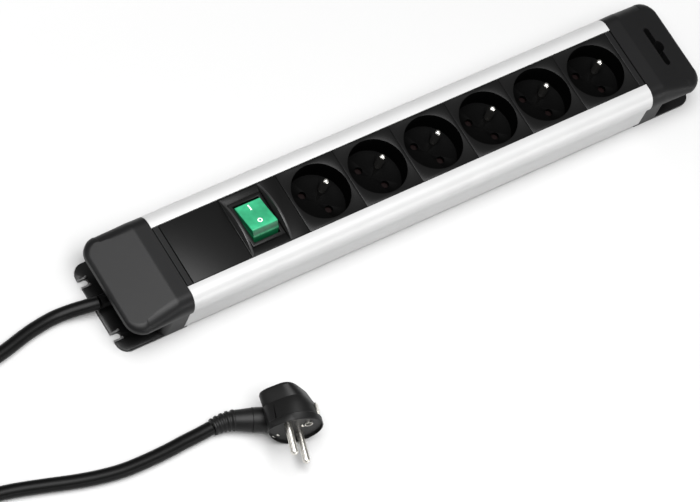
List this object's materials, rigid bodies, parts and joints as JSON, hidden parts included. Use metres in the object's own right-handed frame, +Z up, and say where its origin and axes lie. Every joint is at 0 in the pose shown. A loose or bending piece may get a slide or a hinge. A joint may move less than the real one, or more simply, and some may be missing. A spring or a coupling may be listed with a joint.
{
  "type": "desk power strip",
  "caption": "Extruded power strip with earthed shuttered sockets, a lit rocker switch, overhanging end caps, and a coiled mains cord with an angled plug.",
  "frame": {"origin": "middle of the strip's underside, on the surface that it stands on, without the cord", "axes": "+X along the strip from the cord end to the hanger end, +Y to the left of +X, +Z up out of the socket faces"},
  "size_m": [0.6828, 0.1888, 0.045],
  "materials": {
    "aluminium": "satin anodised",
    "cap_plastic": "fine satin",
    "module_plastic": "fine satin",
    "foot_plastic": "smooth",
    "insulator": "natural",
    "shutter": "smooth",
    "rocker": "translucent green",
    "nickel": "nickel plated",
    "brass": "spring brass",
    "steel": "zinc plated",
    "lamp": "clear",
    "cord_jacket": "soft satin",
    "plug_plastic": "fine texture",
    "live_insulation": "smooth",
    "neutral_insulation": "smooth",
    "earth_insulation": "green with a yellow stripe"
  },
  "bodies": {
    "strip": {"aluminium_profile": "aluminium", "insulator_tray": "insulator", "cord_clamp": "insulator", "switch_base": "insulator", "end_cap_cord": "cap_plastic", "end_cap_hanger": "cap_plastic", "foot_plate_cord": "foot_plastic", "foot_plate_hanger": "foot_plastic", "cap_screw_cord_right": "steel", "cap_screw_cord_left": "steel", "cap_screw_hanger_right": "steel", "cap_screw_hanger_left": "steel", "clamp_screw": "steel", "cord_strain_relief": "cord_jacket", "cord_inner_end": "cord_jacket", "cord_strip_side": "cord_jacket", "cord_plug_side": "cord_jacket", "cord_coil": "cord_jacket", "coil_tie": "cord_jacket", "blank_cover": "module_plastic", "switch_frame": "module_plastic", "switch_body": "module_plastic", "socket_1": "module_plastic", "socket_2": "module_plastic", "socket_3": "module_plastic", "socket_4": "module_plastic", "socket_5": "module_plastic", "socket_6": "module_plastic", "live_terminal_in": "brass", "live_terminal_out": "brass", "neutral_terminal_in": "brass", "neutral_terminal_out": "brass", "live_busbar": "brass", "neutral_busbar": "brass", "earth_busbar": "brass", "indicator_lamp": "lamp", "earth_pin_1": "nickel", "earth_pin_2": "nickel", "earth_pin_3": "nickel", "earth_pin_4": "nickel", "earth_pin_5": "nickel", "earth_pin_6": "nickel", "plug_pin_upper": "nickel", "plug_pin_lower": "nickel", "live_wire_in": "live_insulation", "live_wire_out": "live_insulation", "neutral_wire_in": "neutral_insulation", "neutral_wire_out": "neutral_insulation", "earth_wire": "earth_insulation", "plug_body": "plug_plastic", "plug_boot": "plug_plastic"},
    "rocker": {"rocker": "rocker"},
    "live_bridge": {"live_bridge": "brass"},
    "neutral_bridge": {"neutral_bridge": "brass"},
    "shutter_1": {"shutter_1": "shutter"},
    "shutter_2": {"shutter_2": "shutter"},
    "shutter_3": {"shutter_3": "shutter"},
    "shutter_4": {"shutter_4": "shutter"},
    "shutter_5": {"shutter_5": "shutter"},
    "shutter_6": {"shutter_6": "shutter"}
  },
  "joints": [
    {"name": "rocker_tilt", "type": "hinge", "parent": "strip", "child": "rocker", "pos_m": [-0.1141, 0, 0.0336], "axis": [1, 0, 0], "range_deg": [0, 28]},
    {"name": "live_bridge_tilt", "type": "hinge", "parent": "strip", "child": "live_bridge", "pos_m": [-0.1191, 0, 0.0199], "axis": [1, 0, 0], "range_deg": [-8, 0]},
    {"name": "neutral_bridge_tilt", "type": "hinge", "parent": "strip", "child": "neutral_bridge", "pos_m": [-0.1091, 0, 0.0199], "axis": [1, 0, 0], "range_deg": [-8, 0]},
    {"name": "shutter_1_turn", "type": "hinge", "parent": "strip", "child": "shutter_1", "pos_m": [-0.06525, 0, 0.0196], "axis": [0, 0, 1], "range_deg": [0, 40], "stiffness_Nm_per_rad": 0.01},
    {"name": "shutter_2_turn", "type": "hinge", "parent": "strip", "child": "shutter_2", "pos_m": [-0.02175, 0, 0.0196], "axis": [0, 0, 1], "range_deg": [0, 40], "stiffness_Nm_per_rad": 0.01},
    {"name": "shutter_3_turn", "type": "hinge", "parent": "strip", "child": "shutter_3", "pos_m": [0.02175, 0, 0.0196], "axis": [0, 0, 1], "range_deg": [0, 40], "stiffness_Nm_per_rad": 0.01},
    {"name": "shutter_4_turn", "type": "hinge", "parent": "strip", "child": "shutter_4", "pos_m": [0.06525, 0, 0.0196], "axis": [0, 0, 1], "range_deg": [0, 40], "stiffness_Nm_per_rad": 0.01},
    {"name": "shutter_5_turn", "type": "hinge", "parent": "strip", "child": "shutter_5", "pos_m": [0.10875, 0, 0.0196], "axis": [0, 0, 1], "range_deg": [0, 40], "stiffness_Nm_per_rad": 0.01},
    {"name": "shutter_6_turn", "type": "hinge", "parent": "strip", "child": "shutter_6", "pos_m": [0.15225, 0, 0.0196], "axis": [0, 0, 1], "range_deg": [0, 40], "stiffness_Nm_per_rad": 0.01}
  ],
  "couplings": [
    {"joint": "live_bridge_tilt", "follows": "rocker_tilt", "ratio": -0.28571},
    {"joint": "neutral_bridge_tilt", "follows": "rocker_tilt", "ratio": -0.28571}
  ]
}
